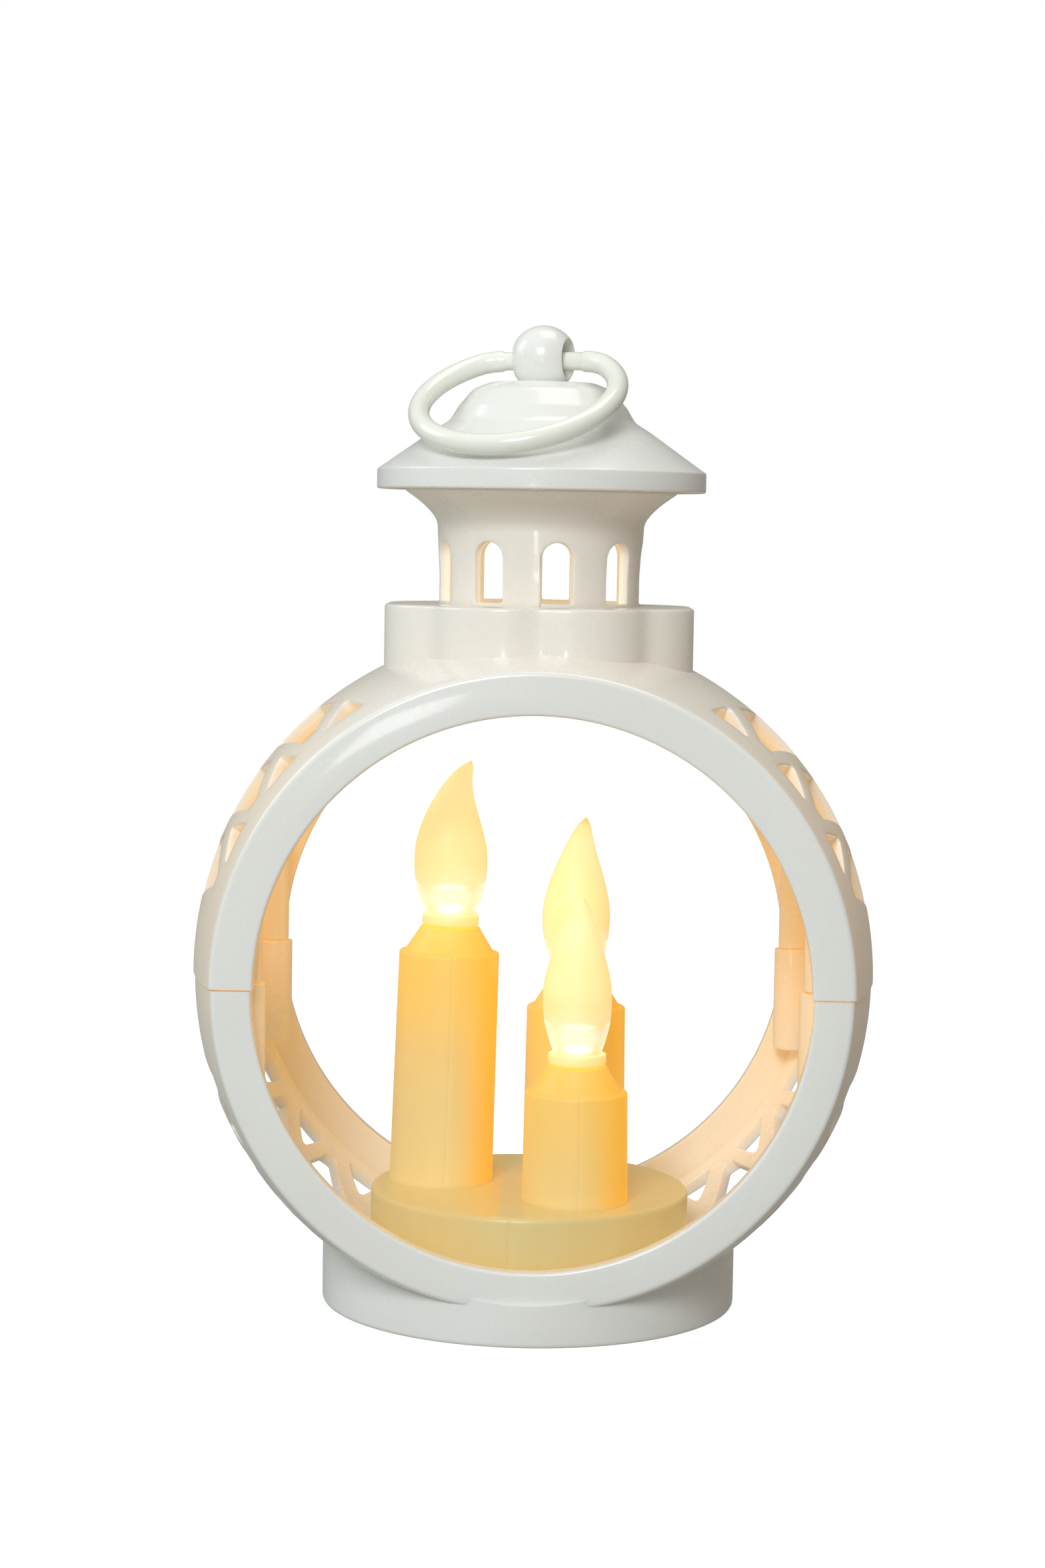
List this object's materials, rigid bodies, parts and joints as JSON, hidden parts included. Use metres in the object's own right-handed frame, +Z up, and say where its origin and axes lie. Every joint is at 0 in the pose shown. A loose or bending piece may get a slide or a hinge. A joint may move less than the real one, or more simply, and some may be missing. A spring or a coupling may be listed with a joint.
{
  "type": "battery powered candle lantern",
  "caption": "Round drum-shaped plastic lantern with open lattice sides, glowing flameless candles inside, a vented chimney, a domed roof and a hinged hanging ring.",
  "frame": {"origin": "centre of the round base, on the plane it stands on", "axes": "+Z up; -Y out of the open front ring towards the viewer; +X to the viewer's right"},
  "size_m": [0.1206, 0.074, 0.1741],
  "materials": {
    "white_plastic": "satin moulded white plastic",
    "ivory_plastic": "satin moulded ivory plastic",
    "amber_plastic": "translucent warm plastic, lit from inside",
    "flame_plastic": "frosted translucent plastic, lit from inside",
    "led_lens": "clear warm epoxy lens",
    "red_wire": "red insulation",
    "black_wire": "black insulation",
    "circuit_board": "green solder mask",
    "black_epoxy": "poured black epoxy",
    "resistor_paint": "tan lacquer with bands",
    "black_plastic": "fine black plastic",
    "plated_steel": "bright plated steel",
    "battery_sleeve": "printed shrink sleeve, no text"
  },
  "bodies": {
    "body": {"base_plate": "white_plastic", "base_screw_1": "plated_steel", "base_screw_2": "plated_steel", "battery_1": "battery_sleeve", "battery_2": "battery_sleeve", "battery_box": "black_plastic", "battery_spring_1": "plated_steel", "battery_spring_2": "plated_steel", "board_screw_1": "plated_steel", "board_screw_2": "plated_steel", "candle_tray": "amber_plastic", "chimney_vent": "white_plastic", "contact_link": "plated_steel", "contact_negative": "plated_steel", "contact_positive": "plated_steel", "driver_board": "circuit_board", "flame_middle": "flame_plastic", "flame_short": "flame_plastic", "flame_tall": "flame_plastic", "flicker_chip": "black_epoxy", "led_middle": "led_lens", "led_short": "led_lens", "led_tall": "led_lens", "lower_housing": "white_plastic", "resistor": "resistor_paint", "roof_cap": "white_plastic", "switch_body": "black_plastic", "tray_screw_1": "plated_steel", "tray_screw_2": "plated_steel", "tray_screw_3": "plated_steel", "upper_housing": "white_plastic", "wire_middle_black": "black_wire", "wire_middle_red": "red_wire", "wire_short_black": "black_wire", "wire_short_red": "red_wire", "wire_tall_black": "black_wire", "wire_tall_red": "red_wire"},
    "ring": {"hanging_ring": "ivory_plastic"},
    "switch": {"switch_knob": "black_plastic"},
    "door": {"battery_door": "white_plastic"}
  },
  "joints": [
    {"name": "ring_swing", "type": "hinge", "parent": "body", "child": "ring", "pos_m": [0, 0, 0.16775], "axis": [-0.9397, 0.342, 0], "range_deg": [0, 237]},
    {"name": "switch_slide", "type": "slide", "parent": "body", "child": "switch", "axis": [1, 0, 0], "range_m": [0, 0.0026]},
    {"name": "door_hinge", "type": "hinge", "parent": "body", "child": "door", "pos_m": [0, -0.0122, 0.0006], "axis": [-1, 0, 0], "range_deg": [0, 100]}
  ]
}
